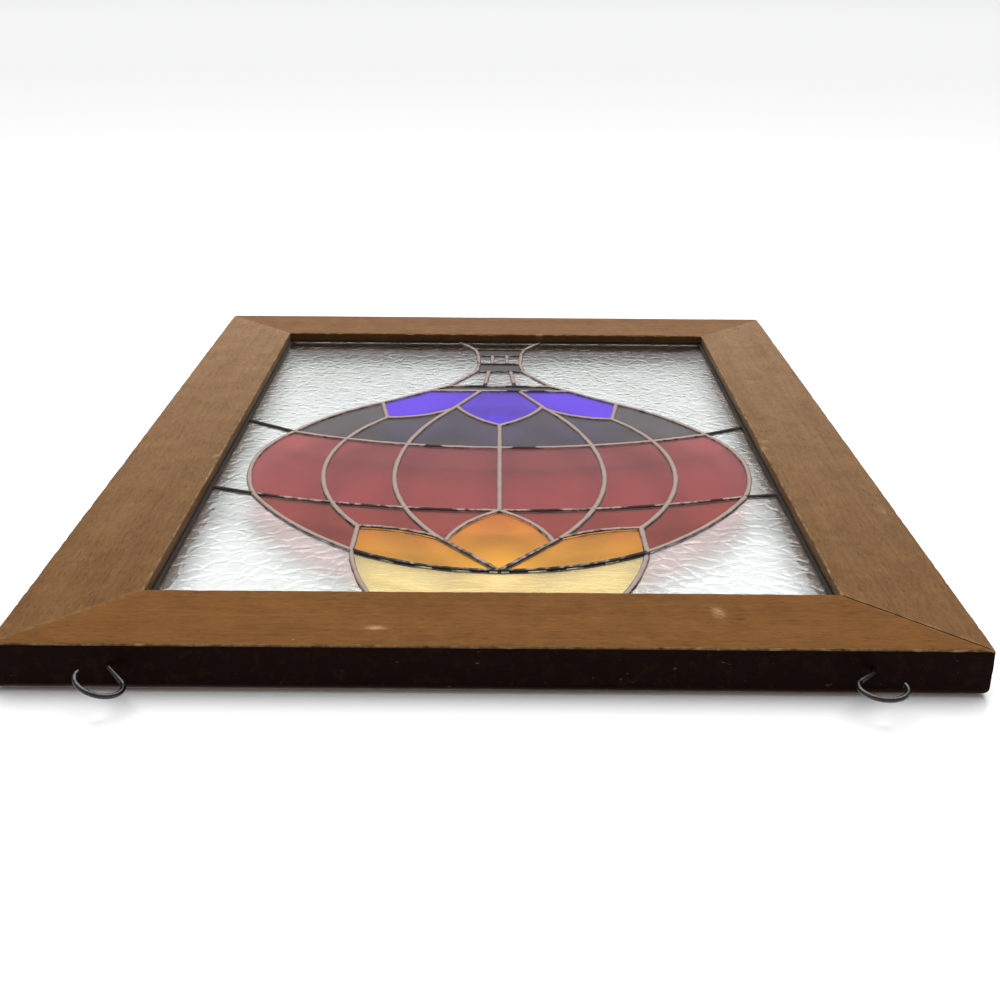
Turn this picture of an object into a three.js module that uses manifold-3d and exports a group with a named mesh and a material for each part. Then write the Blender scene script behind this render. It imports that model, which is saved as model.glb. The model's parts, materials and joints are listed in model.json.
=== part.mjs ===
// A stained glass panel with a balloon picture, held in the groove of a mitred wooden frame
// and made to hang from two screw hooks. Millimetres, +Z up; the front faces -Y.
// The origin lies midway between the hooks, at the height where a chain bears in their loops.
import * as THREE from 'three';
import { mergeVertices } from 'three/addons/utils/BufferGeometryUtils.js';
import Module from 'manifold-3d';

const wasm = await Module();
wasm.setup();

// Frame
const FRAME_WIDTH = 508;
const FRAME_HEIGHT = 671;
const FRAME_DEPTH = 27;
const MEMBER_WIDTH = 63.5;
const ARRIS = 1.2; // worn edges of the members
const BACK_ROUNDING = 4.5; // outer edge at the back
const FIT_GAP = 0.3; // between neighbouring pieces
const MITRE_GAP = 0.4;

// Glass and the metal lines that join it
const GLASS_THICKNESS = 3;
const GLASS_SETBACK = 8.6; // from the front of the frame to the front of the glass
const BEAD_WIDTH = 4.4; // a soldered line where it lies on the glass
const BEAD_CREST = 2; // its flat top
const BEAD_HEIGHT = 1.2;
const WEB_WIDTH = 1.2; // the metal between two edges of glass
const PANEL_CAPTURE = 5; // how far the panel reaches into the groove
const SEAM_STEP = 26; // longest chord along a curved seam

// Hooks
const HOOK_SPREAD = 386.6;
const HOOK_SETBACK = 11.5; // from the front of the frame to the middle of the wire
const HOOK_TURNS = { left: 0, right: -20 }; // degrees, how far each is screwed past square
const HOOK_WIRE = 2.8;
const HOOK_SIDES = 8;
const HOOK_STEPS = 30;
const LOOP_RADIUS = 12.2; // centre line of the wire
const LOOP_LEVEL = 18; // centre of the loop above the frame
const LOOP_START = 205; // degrees, where the wire comes into the loop
const LOOP_END = -20; // its open end
const SHANK_DEPTH = 18;
const SHANK_RISE = 2; // straight wire that shows above the wood
const BEARING_LEVEL = LOOP_LEVEL + LOOP_RADIUS - HOOK_WIRE / 2;

// Places worked out from the sizes above
const HALF_WIDTH = FRAME_WIDTH / 2;
const TOP = -BEARING_LEVEL; // top edge of the frame
const FRONT = -HOOK_SETBACK;
const PANEL_Y = FRONT + GLASS_SETBACK + GLASS_THICKNESS / 2;
const BEAD_SEAT = GLASS_THICKNESS / 2 + FIT_GAP;
const PANEL_HALF_DEPTH = GLASS_THICKNESS / 2 + BEAD_HEIGHT;
const BORDER_X = HALF_WIDTH - MEMBER_WIDTH - 0.5; // centre of the metal line round the panel
const BORDER_TOP = MEMBER_WIDTH + 0.5;
const BORDER_FOOT = FRAME_HEIGHT - BORDER_TOP;
const PICTURE_SHIFT = -3.7; // the picture's axis from the middle of the frame

const GLASS = {
  clear: { color: 0xdfe8e3, roughness: 0.15 },
  yellow: { color: 0xf2dc94, roughness: 0.15 },
  orange: { color: 0xe39a3c, roughness: 0.1 },
  wine: { color: 0x86474d, roughness: 0.1 },
  red: { color: 0x9b5a5c, roughness: 0.1 },
  smoke: { color: 0x6b6666, roughness: 0.1 },
  violet: { color: 0x6a50dc, roughness: 0.1 },
  amber: { color: 0x5a3d2a, roughness: 0.2 },
};
const WOOD = new THREE.MeshStandardMaterial({ color: 0x8a6236, roughness: 0.55, metalness: 0 });
const LEAD = new THREE.MeshStandardMaterial({ color: 0x9a8f88, roughness: 0.45, metalness: 0.8 });
const STEEL = new THREE.MeshStandardMaterial({ color: 0x4c4a48, roughness: 0.4, metalness: 0.9 });

const part = new THREE.Group();

function place(name, geometry, material) {
  const mesh = new THREE.Mesh(geometry, material);
  mesh.name = name;
  part.add(mesh);
  return mesh;
}

// ---- Solids -------------------------------------------------------------------------------

// Closed body through rings of [x, drop] points, each ring at its own depth y
function loft(rings) {
  const count = rings[0].points.length;
  const positions = rings.flatMap(({ y, points }) => points.flatMap(([x, drop]) => [x, y, TOP - drop]));
  const faces = [];
  for (let ring = 0; ring + 1 < rings.length; ring++) {
    for (let i = 0; i < count; i++) {
      const [a, b] = [ring * count + i, ring * count + ((i + 1) % count)];
      faces.push(a, a + count, b, b, a + count, b + count);
    }
  }
  const cap = ({ points }) => THREE.ShapeUtils.triangulateShape(
    points.map(([x, drop]) => new THREE.Vector2(x, -drop)), []);
  const last = (rings.length - 1) * count;
  cap(rings[0]).forEach(([a, b, c]) => faces.push(a, b, c));
  cap(rings.at(-1)).forEach(([a, b, c]) => faces.push(last + c, last + b, last + a));
  const geometry = new THREE.BufferGeometry();
  geometry.setAttribute('position', new THREE.Float32BufferAttribute(positions, 3));
  geometry.setIndex(faces);
  return geometry;
}

function solidOf(geometry) {
  const bare = geometry.clone();
  bare.deleteAttribute('normal');
  bare.deleteAttribute('uv');
  const { attributes, index } = mergeVertices(bare, 1e-3);
  return new wasm.Manifold(new wasm.Mesh({
    numProp: 3,
    vertProperties: attributes.position.array,
    triVerts: Uint32Array.from(index.array),
  }));
}

function geometryOf(solid) {
  const { vertProperties, triVerts } = solid.getMesh();
  const geometry = new THREE.BufferGeometry();
  geometry.setAttribute('position', new THREE.BufferAttribute(vertProperties, 3));
  geometry.setIndex(new THREE.BufferAttribute(triVerts, 1));
  return geometry;
}

// ---- Drawing: points are [x from the picture's axis, drop below the top of the frame] -------

const sag = (radius, reach) => radius - Math.sqrt(radius ** 2 - reach ** 2);
const stepsFor = (length) => Math.max(1, Math.ceil(length / SEAM_STEP));
const between = (a, b, t) => [a[0] + (b[0] - a[0]) * t, a[1] + (b[1] - a[1]) * t];

// Half-width of a gore seam: widest at its level, with an arc of its own radius above and below
const gore = ({ reach, level, above, below }) => (drop) =>
  reach - sag(drop < level ? above : below, drop - level);
// Level of a belt seam: highest on the axis, an arc downwards to both sides
const belt = ({ level, radius }) => (x) => level + sag(radius, x);

const down = (curve, from, to) => {
  const steps = stepsFor(Math.abs(to - from));
  return Array.from({ length: steps + 1 }, (_, i) => from + ((to - from) * i) / steps)
    .map((drop) => [curve(drop), drop]);
};
const across = (curve, from, to) => {
  const steps = stepsFor(Math.abs(to - from));
  return Array.from({ length: steps + 1 }, (_, i) => from + ((to - from) * i) / steps)
    .map((x) => [x, curve(x)]);
};
// Arc from a to b that rises by `rise` to the left of the chord on the drawing
function arc(a, b, rise = 0) {
  const chord = Math.hypot(b[0] - a[0], b[1] - a[1]);
  const normal = [(b[1] - a[1]) / chord, (a[0] - b[0]) / chord];
  const steps = rise ? Math.max(3, stepsFor(chord)) : 1;
  return Array.from({ length: steps + 1 }, (_, i) => {
    const t = i / steps;
    const lift = 4 * rise * t * (1 - t);
    const [x, drop] = between(a, b, t);
    return [x + normal[0] * lift, drop + normal[1] * lift];
  });
}

// Where a gore seam crosses a belt seam
function crossing(goreSeam, beltSeam) {
  let drop = beltSeam(0);
  for (let round = 0; round < 40; round++) drop = beltSeam(goreSeam(drop));
  return [goreSeam(drop), drop];
}

// ---- The picture: one half of its seams -----------------------------------------------------

const LEVEL = {
  crown: 108.5,
  leafSide: 172.5,
  leafMeet: 156.6,
  upperBelt: 199.5,
  lowerBelt: 319.2,
  petalTip: 370,
  petalFoot: 386.5,
  petalMeet: 410.5,
  petalOuter: 424.5,
  mouthTop: 457.5,
  mouthFoot: 470.5,
  collarTop: 513,
  ropesTop: 537,
  basketTop: 562,
  basketFoot: 583,
};
const axis = () => 0;
const innerGore = gore({ reach: 72.5, level: 272, above: 210, below: 285 });
const outerGore = gore({ reach: 122, level: 280, above: 190, below: 180 });
const envelope = gore({ reach: 173.5, level: 285, above: 171, below: 125 });
const GORES = [axis, innerGore, outerGore, envelope];
const crown = belt({ level: LEVEL.crown, radius: 155 });
const upperBelt = belt({ level: LEVEL.upperBelt, radius: 505 });
const lowerBelt = belt({ level: LEVEL.lowerBelt, radius: 380 });
const onUpperBelt = GORES.map((seam) => crossing(seam, upperBelt));
const onLowerBelt = GORES.map((seam) => crossing(seam, lowerBelt));
// Stretches of the belts from one gore to another
const upperStretch = (from, to) => across(upperBelt, onUpperBelt[from][0], onUpperBelt[to][0]);
const lowerStretch = (from, to) => across(lowerBelt, onLowerBelt[from][0], onLowerBelt[to][0]);

// Corners of the right half, from the crown down to the sill
const crownTop = [0, LEVEL.crown];
const crownEnd = [88.9, crown(88.9)];
const leafSide = [outerGore(LEVEL.leafSide), LEVEL.leafSide];
const leafMeet = [innerGore(LEVEL.leafMeet), LEVEL.leafMeet];
const leafCorner = between(leafMeet, crownTop, 0.13);
const petalTip = [0, LEVEL.petalTip];
const petalFoot = [outerGore(LEVEL.petalFoot), LEVEL.petalFoot];
const petalMeet = [innerGore(LEVEL.petalMeet), LEVEL.petalMeet];
const petalNeck = [15.8, LEVEL.mouthTop];
const petalCorner = between(petalMeet, petalNeck, 0.13);
const petalOuter = [93.5, LEVEL.petalOuter];
const mouthFoot = [42.5, LEVEL.mouthFoot];
const mouthTop = between(petalOuter, mouthFoot, 0.72);
const skirtRope = [12.5, LEVEL.mouthFoot];
const collarRope = [9.5, LEVEL.collarTop];
const collarTop = [20, LEVEL.collarTop];
const collarFoot = [18, LEVEL.ropesTop];
const ropeTop = [6.5, LEVEL.ropesTop];
const ropeFoot = [6.5, LEVEL.basketTop];
const basketTop = [19, LEVEL.basketTop];
const basketFoot = [22.5, LEVEL.basketFoot];
const baseTie = [37, BORDER_FOOT];
const TIES = { // where seams meet the frame on each side: reach at the top, levels at the stile
  left: { crown: 63, upper: 231, lower: 370 },
  right: { crown: 67, upper: 238.5, lower: 379 },
};

// Seams that more than one piece shares, each drawn from the crown side or the axis outwards
const crownSide = arc(onUpperBelt[3], crownEnd, -6.3).reverse();
const shoulder = arc(onLowerBelt[3], petalOuter, 5.7);
const widest = down(envelope, onUpperBelt[3][1], onLowerBelt[3][1]);
const leafBack = arc(leafSide, leafMeet, 3.8);
const leafTipSide = arc(onUpperBelt[0], leafCorner, -5.5);
const petalBack = arc(petalFoot, petalMeet, -6.2);
const petalTipSide = arc(petalTip, petalCorner, 4.5);
const crownTieSeam = (side) => arc([TIES[side].crown, BORDER_TOP], crownEnd, 3.6);
const basketSide = arc(basketTop, basketFoot, -0.6);
const baseTieSeam = arc(basketFoot, baseTie, -0.8);
const flipped = (points) => points.map(([x, drop]) => [-x, drop]);
const wholeWidth = (points) => [...points, ...flipped(points).reverse()];

// Every piece of glass: name, colour and outline
const PANES = [];
const pane = (name, colour, ...stretches) => PANES.push({ name, colour, outline: stretches.flat() });

pane('yellow_crown_glass', 'yellow', crownTieSeam('right'),
  wholeWidth(across(crown, crownEnd[0], 0)), flipped(crownTieSeam('left')).reverse());
pane('orange_leaf_centre', 'orange', wholeWidth([...leafTipSide, crownTop]));
pane('violet_petal_centre', 'violet', wholeWidth([...petalTipSide, petalNeck]));
pane('mouth_band_glass', 'smoke', wholeWidth([petalNeck, mouthTop, mouthFoot, skirtRope]));
pane('skirt_centre_glass', 'clear', wholeWidth([skirtRope, collarRope]));
pane('collar_glass', 'smoke', wholeWidth([collarRope, collarTop, collarFoot, ropeTop]));
pane('rope_centre_glass', 'clear', wholeWidth([ropeTop, ropeFoot]));
pane('basket_glass', 'amber', wholeWidth([ropeFoot, ...basketSide]));
pane('clear_base_glass', 'clear', wholeWidth(baseTieSeam));

for (const [side, flip] of [['left', flipped], ['right', (points) => points]]) {
  const halfPane = (name, colour, ...stretches) => (
    pane(`${name}_${side}`, colour, flip(stretches.flat())));
  const borderX = BORDER_X + (side === 'left' ? PICTURE_SHIFT : -PICTURE_SHIFT);
  const [upperTie, lowerTie] = [[borderX, TIES[side].upper], [borderX, TIES[side].lower]];

  halfPane('orange_leaf', 'orange',
    across(crown, 0, crownEnd[0]), leafBack, [leafCorner]);
  halfPane('violet_petal', 'violet', petalBack, [petalCorner, petalNeck, mouthTop, petalOuter]);
  halfPane('skirt_glass', 'clear', [skirtRope, mouthFoot, collarTop, collarRope]);
  halfPane('rope_glass', 'clear', [ropeTop, collarFoot, basketTop, ropeFoot]);

  // Six wine and six smoke panes, cut short by the leaves and the petals
  halfPane('wine_inner', 'wine', leafTipSide,
    down(innerGore, LEVEL.leafMeet, onUpperBelt[1][1]), upperStretch(1, 0));
  halfPane('wine_middle', 'wine', leafBack,
    down(innerGore, LEVEL.leafMeet, onUpperBelt[1][1]), upperStretch(1, 2),
    down(outerGore, onUpperBelt[2][1], LEVEL.leafSide));
  halfPane('wine_outer', 'wine', crownSide, upperStretch(3, 2),
    down(outerGore, onUpperBelt[2][1], LEVEL.leafSide));
  halfPane('smoke_inner', 'smoke', petalTipSide,
    down(innerGore, LEVEL.petalMeet, onLowerBelt[1][1]), lowerStretch(1, 0));
  halfPane('smoke_middle', 'smoke', petalBack,
    down(innerGore, LEVEL.petalMeet, onLowerBelt[1][1]), lowerStretch(1, 2),
    down(outerGore, onLowerBelt[2][1], LEVEL.petalFoot));
  halfPane('smoke_outer', 'smoke', shoulder, [petalFoot],
    down(outerGore, LEVEL.petalFoot, onLowerBelt[2][1]), lowerStretch(2, 3));

  // The red panes fill the grid of gores between the two belts
  ['inner', 'middle', 'outer'].forEach((where, gap) => {
    const [near, far] = [gap, gap + 1];
    halfPane(`red_${where}`, 'red',
      down(GORES[near], onLowerBelt[near][1], onUpperBelt[near][1]), upperStretch(near, far),
      down(GORES[far], onUpperBelt[far][1], onLowerBelt[far][1]), lowerStretch(far, near));
  });

  // Three clear panes between the balloon and the frame
  halfPane('clear_upper', 'clear', crownTieSeam(side), crownSide, [upperTie, [borderX, BORDER_TOP]]);
  halfPane('clear_middle', 'clear', widest, [lowerTie, upperTie]);
  halfPane('clear_lower', 'clear', shoulder, [mouthTop, mouthFoot, collarTop, collarFoot],
    basketSide, baseTieSeam, [[borderX, BORDER_FOOT], lowerTie]);
}

// ---- Panes and the metal lines between them -------------------------------------------------

// Outline on the panel, without repeated points and turning the same way for every pane
function onPanel(outline) {
  const points = outline.filter(([x, drop], i) => {
    const [lastX, lastDrop] = outline.at(i - 1);
    return Math.hypot(x - lastX, drop - lastDrop) > 0.01;
  });
  const turn = THREE.ShapeUtils.area(points.map(([x, drop]) => new THREE.Vector2(x, -drop)));
  return (turn > 0 ? points : points.reverse()).map(([x, drop]) => [x + PICTURE_SHIFT, drop]);
}

// The same outline drawn in by a distance, with its corners kept sharp
function inset(points, distance) {
  const normals = points.map(([x, drop], i) => {
    const [nextX, nextDrop] = points[(i + 1) % points.length];
    const length = Math.hypot(nextX - x, nextDrop - drop);
    return [(nextDrop - drop) / length, (x - nextX) / length];
  });
  return points.map(([x, drop], i) => {
    const [a, b] = [normals.at(i - 1), normals[i]];
    const scale = distance / (1 + a[0] * b[0] + a[1] * b[1]);
    return [x + (a[0] + b[0]) * scale, drop + (a[1] + b[1]) * scale];
  });
}

const bodyOf = (points, layers) => loft(layers.map(([depth, distance]) => (
  { y: PANEL_Y + depth, points: inset(points, distance) })));

const glassEdge = WEB_WIDTH / 2 + FIT_GAP;
const paneLayers = [[-GLASS_THICKNESS / 2, glassEdge], [GLASS_THICKNESS / 2, glassEdge]];

// A pane's window in the metal: a slot for the glass edge between two bevelled openings that
// reach past both faces
const beadSlope = (BEAD_WIDTH - BEAD_CREST) / 2 / (PANEL_HALF_DEPTH - BEAD_SEAT);
const past = PANEL_HALF_DEPTH + FIT_GAP;
const pastInset = BEAD_CREST / 2 - beadSlope * FIT_GAP;
const windowLayers = [
  [-past, pastInset], [-BEAD_SEAT, BEAD_WIDTH / 2], [-BEAD_SEAT, WEB_WIDTH / 2],
  [BEAD_SEAT, WEB_WIDTH / 2], [BEAD_SEAT, BEAD_WIDTH / 2], [past, pastInset],
];

const panelX = HALF_WIDTH - MEMBER_WIDTH + PANEL_CAPTURE;
const panelTop = MEMBER_WIDTH - PANEL_CAPTURE;
const panelFoot = FRAME_HEIGHT - panelTop;
const panelCorners = [[-panelX, panelFoot], [panelX, panelFoot], [panelX, panelTop], [-panelX, panelTop]];
const slab = solidOf(loft([-PANEL_HALF_DEPTH, PANEL_HALF_DEPTH].map((depth) => (
  { y: PANEL_Y + depth, points: panelCorners }))));

const outlines = PANES.map(({ outline }) => onPanel(outline));
const lines = outlines.reduce((metal, points) => metal.subtract(solidOf(bodyOf(points, windowLayers))), slab);
place('lead_lines', geometryOf(lines), LEAD);

const glassMaterials = Object.fromEntries(Object.entries(GLASS).map(([colour, look]) => [
  colour, new THREE.MeshStandardMaterial({ ...look, metalness: 0, transparent: true, opacity: 0.8 })]));
PANES.forEach(({ name, colour }, i) => {
  place(name, bodyOf(outlines[i], paneLayers), glassMaterials[colour]);
});

// ---- Frame --------------------------------------------------------------------------------

// Section of a member: [distance from its outer edge, depth from the front]
function memberSection() {
  const grooveFront = GLASS_SETBACK + GLASS_THICKNESS / 2 - PANEL_HALF_DEPTH - FIT_GAP;
  const grooveBack = grooveFront + 2 * (PANEL_HALF_DEPTH + FIT_GAP);
  const grooveFloor = MEMBER_WIDTH - PANEL_CAPTURE - FIT_GAP;
  const section = new THREE.Shape();
  section.moveTo(ARRIS, 0);
  section.lineTo(MEMBER_WIDTH - ARRIS, 0);
  section.lineTo(MEMBER_WIDTH, ARRIS);
  section.lineTo(MEMBER_WIDTH, grooveFront);
  section.lineTo(grooveFloor, grooveFront);
  section.lineTo(grooveFloor, grooveBack);
  section.lineTo(MEMBER_WIDTH, grooveBack);
  section.lineTo(MEMBER_WIDTH, FRAME_DEPTH - ARRIS);
  section.lineTo(MEMBER_WIDTH - ARRIS, FRAME_DEPTH);
  section.lineTo(BACK_ROUNDING, FRAME_DEPTH);
  section.absarc(BACK_ROUNDING, FRAME_DEPTH - BACK_ROUNDING, BACK_ROUNDING, Math.PI / 2, Math.PI, false);
  section.lineTo(0, ARRIS);
  return section;
}

// A member lies along +X with its outer edge at z = 0; both ends are cut at 45 degrees
function member(length) {
  const geometry = new THREE.ExtrudeGeometry(memberSection(), {
    depth: length, bevelEnabled: false, curveSegments: 2,
  });
  const position = geometry.attributes.position;
  for (let i = 0; i < position.count; i++) {
    const [reach, depth, along] = [position.getX(i), position.getY(i), position.getZ(i)];
    const cut = reach + MITRE_GAP / 2;
    const x = along > length / 2 ? length / 2 - cut : cut - length / 2;
    position.setXYZ(i, x, FRONT + depth, -reach);
  }
  geometry.computeVertexNormals();
  return geometry;
}

// ---- Hooks --------------------------------------------------------------------------------

const wireSection = (radius) => new THREE.Shape(Array.from({ length: HOOK_SIDES }, (_, i) => {
  const angle = (i / HOOK_SIDES) * 2 * Math.PI;
  return new THREE.Vector2(radius * Math.cos(angle), radius * Math.sin(angle));
}));

// Wire from the tip of the shank, sideways into the loop and round to its open end; z = 0 is
// where it leaves the wood
function hook() {
  const onLoop = (degrees) => {
    const angle = THREE.MathUtils.degToRad(degrees);
    return [LOOP_RADIUS * Math.cos(angle), LOOP_LEVEL + LOOP_RADIUS * Math.sin(angle)];
  };
  const loopPoints = 10;
  const [neck, loopStart] = [[0, SHANK_RISE], onLoop(LOOP_START)];
  const route = [[0, -SHANK_DEPTH], [0, -SHANK_DEPTH / 2], [0, 0], neck,
    between(neck, loopStart, 0.3), between(neck, loopStart, 0.8)];
  for (let i = 1; i <= loopPoints; i++) {
    route.push(onLoop(LOOP_START + ((LOOP_END - LOOP_START) * i) / loopPoints));
  }
  const path = new THREE.CatmullRomCurve3(route.map(([x, z]) => new THREE.Vector3(x, 0, z)));
  return new THREE.ExtrudeGeometry(wireSection(HOOK_WIRE / 2), { steps: HOOK_STEPS, extrudePath: path });
}

function shankHole() {
  const clearRadius = (HOOK_WIRE / 2 + FIT_GAP) / Math.cos(Math.PI / HOOK_SIDES);
  const depth = SHANK_DEPTH + FIT_GAP;
  return new THREE.ExtrudeGeometry(wireSection(clearRadius), { depth: 2 * depth, bevelEnabled: false })
    .translate(0, 0, -depth);
}

// ---- Assembly ------------------------------------------------------------------------------

const hookPlaces = [
  ['hook_left', -HOOK_SPREAD / 2, 180 + HOOK_TURNS.left],
  ['hook_right', HOOK_SPREAD / 2, HOOK_TURNS.right],
];
const drilled = hookPlaces.reduce(
  (rail, [, x]) => rail.subtract(solidOf(shankHole()).translate([x, 0, 0])), solidOf(member(FRAME_WIDTH)));

place('top_rail', geometryOf(drilled), WOOD).position.z = TOP;
const bottomRail = place('bottom_rail', member(FRAME_WIDTH), WOOD);
bottomRail.rotation.y = Math.PI;
bottomRail.position.z = TOP - FRAME_HEIGHT;
for (const [name, side] of [['left_stile', -1], ['right_stile', 1]]) {
  const stile = place(name, member(FRAME_HEIGHT), WOOD);
  stile.rotation.y = (side * Math.PI) / 2;
  stile.position.set(side * HALF_WIDTH, 0, TOP - FRAME_HEIGHT / 2);
}
for (const [name, x, turn] of hookPlaces) {
  const mesh = place(name, hook(), STEEL);
  mesh.rotation.z = THREE.MathUtils.degToRad(turn);
  mesh.position.set(x, 0, TOP);
}

export default part;
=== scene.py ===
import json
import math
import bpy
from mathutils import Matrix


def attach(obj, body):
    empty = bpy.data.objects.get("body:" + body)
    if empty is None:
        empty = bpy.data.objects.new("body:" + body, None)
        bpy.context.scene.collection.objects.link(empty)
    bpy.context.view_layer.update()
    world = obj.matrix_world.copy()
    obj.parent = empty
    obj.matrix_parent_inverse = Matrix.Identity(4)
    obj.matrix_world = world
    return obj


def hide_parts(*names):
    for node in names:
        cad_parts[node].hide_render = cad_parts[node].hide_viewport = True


bl_info = {
    "name": "Stained glass panel",
    "version": (1, 0, 0),
    "blender": (4, 5, 0),
    "location": "3D View > Sidebar > Panel maker",
    "description": "Wooden frame, soldered lines, panes and hooks of a stained glass panel",
    "category": "Add Mesh",
}

import bmesh
import bpy
import numpy as np
from bpy.props import FloatProperty, FloatVectorProperty, PointerProperty
from bpy.types import Operator, Panel, PropertyGroup
from mathutils import Matrix

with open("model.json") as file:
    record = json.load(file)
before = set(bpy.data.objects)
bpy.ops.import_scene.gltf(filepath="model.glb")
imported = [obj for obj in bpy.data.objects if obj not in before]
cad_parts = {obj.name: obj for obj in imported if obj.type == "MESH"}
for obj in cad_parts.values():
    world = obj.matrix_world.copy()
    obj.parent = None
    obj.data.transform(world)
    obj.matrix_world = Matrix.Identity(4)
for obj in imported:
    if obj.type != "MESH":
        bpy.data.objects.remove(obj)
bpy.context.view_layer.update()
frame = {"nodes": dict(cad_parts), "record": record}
NODES = frame["nodes"]

MM = 0.001
SHADOW_TINT = 0.3  # share of a pane's colour that it gives to the light passing through it
NOISE_CELLS = (97, 89)  # lattice size after which the noise repeats
GLASS_IOR, CLEAR_IOR = 1.4, 1.38
GOLDEN_HEIGHTS = (-0.215, -0.150)  # in metres, where a leaf turns golden: partly the glass's own colour and partly painted light from the yellow crown

# Sizes of the frame, in mm; depths run from its front face to its back
FRAME_WIDTH, FRAME_HEIGHT, FRAME_DEPTH = 508.0, 671.0, 27.0
TOP, FRONT = -28.8, -11.5
GROOVE_FRONT, GROOVE_BACK, GROOVE_DEPTH = 7.1, 13.1, 5.3
PANEL_Y = FRONT + 10.1
GLASS_HALF = 1.5
WEB_HALF = 0.6
PICTURE_SHIFT = -3.7
BORDER_X, BORDER_TOP, BORDER_FOOT = 190.0, 64.0, 607.0
HOOKS = {"hook_left": (-193.3, 180.0), "hook_right": (193.3, -20.0)}


# ---- Sizes and colours a user may change -----------------------------------------------------


def length(name, description, default):
    return FloatProperty(name=name, description=description, default=default, min=0.0,
                         unit="LENGTH", precision=5)


def colour(name, description, default):
    return FloatVectorProperty(name=name, description=description, default=default, size=3,
                               min=0.0, max=1.0, subtype="COLOR")


class WoodSettings(PropertyGroup):
    member_width: length("Member width", "Width of the rails and stiles", 0.0635)
    arris: length("Arris", "Radius of the worn front edges", 0.0012)
    back_rounding: length("Back rounding", "Radius of the outer edge at the back", 0.0045)
    joint_gap: length("Joint gap", "Width of a tight mitre", 0.0003)
    open_joint_gap: length("Open joint", "Width of the mitre that has opened", 0.0018)
    unevenness: length("Unevenness", "Depth of the hollows in the worn faces", 0.00025)
    golden: colour("Golden tone", "Stain of the two rails", (0.145, 0.056, 0.007))
    brown: colour("Brown tone", "Stain of the two stiles", (0.142, 0.069, 0.0215))
    # Painted sheen: this pale tone stands in for the glancing reflection that pales the stiles
    # towards their foot and the bottom rail.
    faded: colour("Faded tone", "Where the stain has paled", (0.235, 0.135, 0.065))
    # The edge stain colour is real dark stain and also painted shade: it darkens the outer edges
    # beyond their stain, and it fills the pores.
    dark: colour("Edge stain", "Stain of the outer edges", (0.008, 0.0018, 0.0008))
    bare: colour("Bare wood", "Wood where the stain has worn off", (0.50, 0.33, 0.18))


class LineSettings(PropertyGroup):
    width: length("Line width", "Width of a soldered line on the glass", 0.0034)
    rise: length("Line rise", "Height of its crest over the glass", 0.00115)
    solder: colour("Solder", "Dull solder", (0.32, 0.215, 0.205))
    # This tarnish colour also paints the shade on the flanks of every bead and on the border line.
    tarnish: colour("Tarnish", "Black tarnish on the solder", (0.013, 0.009, 0.006))


class GlassSettings(PropertyGroup):
    clear: colour("Clear", "Crackle glass", (0.93, 0.985, 0.955))
    yellow: colour("Yellow", "Rippled glass of the crown", (1.0, 0.95, 0.52))
    orange: colour("Orange", "The leaves towards the rings", (1.0, 0.37, 0.045))
    # Golden: partly the glass's own colour and partly painted light that the yellow crown passes
    # on.
    golden: colour("Golden", "The leaves towards the crown", (1.0, 0.58, 0.05))
    wine: colour("Wine", "The ring below the crown", (0.42, 0.090, 0.068))
    red: colour("Red", "The widest ring", (0.46, 0.092, 0.092))
    smoke: colour("Smoke", "The lower ring, mouth and collar", (0.135, 0.112, 0.122))
    violet: colour("Violet", "The petals", (0.15, 0.04, 1.0))
    amber: colour("Amber", "The basket", (0.24, 0.14, 0.09))
    relief: length("Relief", "Depth of the crackle in the clear glass", 0.00008)


class HookSettings(PropertyGroup):
    wire: length("Wire", "Diameter of the wire", 0.0028)
    loop_radius: length("Loop radius", "Radius of the loop at the middle of the wire", 0.0120)
    steel: colour("Steel", "Darkened steel", (0.05, 0.048, 0.05))


class StageSettings(PropertyGroup):
    key: FloatProperty(name="Key light", description="Strength of the soft key light",
                       default=3.8, min=0.0)
    fill: FloatProperty(name="Fill light", description="Brightness of the surroundings",
                        default=0.43, min=0.0)
    sheen: FloatProperty(name="Sheen", description="Brightness of the surroundings in reflections",
                         default=0.5, min=0.0)
    back: FloatProperty(name="Back light", description="Strength of the light from behind",
                        default=1.6, min=0.0)
    surface: colour("Surface", "Pale surface behind the panel", (0.95, 0.95, 0.955))


# ---- Surfaces ---------------------------------------------------------------------------------


def lattice_noise(u, v, seed):
    """Random values from -1 to 1 on the corners of a square lattice, blended between the
    corners by 3t^2 - 2t^3 in both directions."""
    table = np.random.default_rng(seed).uniform(-1.0, 1.0, NOISE_CELLS)
    cell_u, cell_v = np.floor(u).astype(int), np.floor(v).astype(int)
    fu, fv = u - cell_u, v - cell_v
    fu, fv = fu * fu * (3 - 2 * fu), fv * fv * (3 - 2 * fv)

    def corner(i, j):
        return table[(cell_u + i) % NOISE_CELLS[0], (cell_v + j) % NOISE_CELLS[1]]

    low = corner(0, 0) * (1 - fu) + corner(1, 0) * fu
    high = corner(0, 1) * (1 - fu) + corner(1, 1) * fu
    return low * (1 - fv) + high * fv


def bump_at(values, centre, half_width):
    """A bell curve of height 1 round centre."""
    return np.exp(-(((values - centre) / half_width) ** 2))


def tube(rows):
    """Corners and faces of a grid of rows x columns x 3 whose last column meets its first, with
    one face across each end row."""
    count, columns = rows.shape[:2]
    index = np.arange(count * columns).reshape(count, columns)
    beside = np.roll(index, -1, axis=1)
    quads = np.stack([index[:-1], beside[:-1], beside[1:], index[1:]], axis=-1).reshape(-1, 4)
    faces = quads.tolist() + [index[0][::-1].tolist(), index[-1].tolist()]
    return rows.reshape(-1, 3), faces


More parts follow.
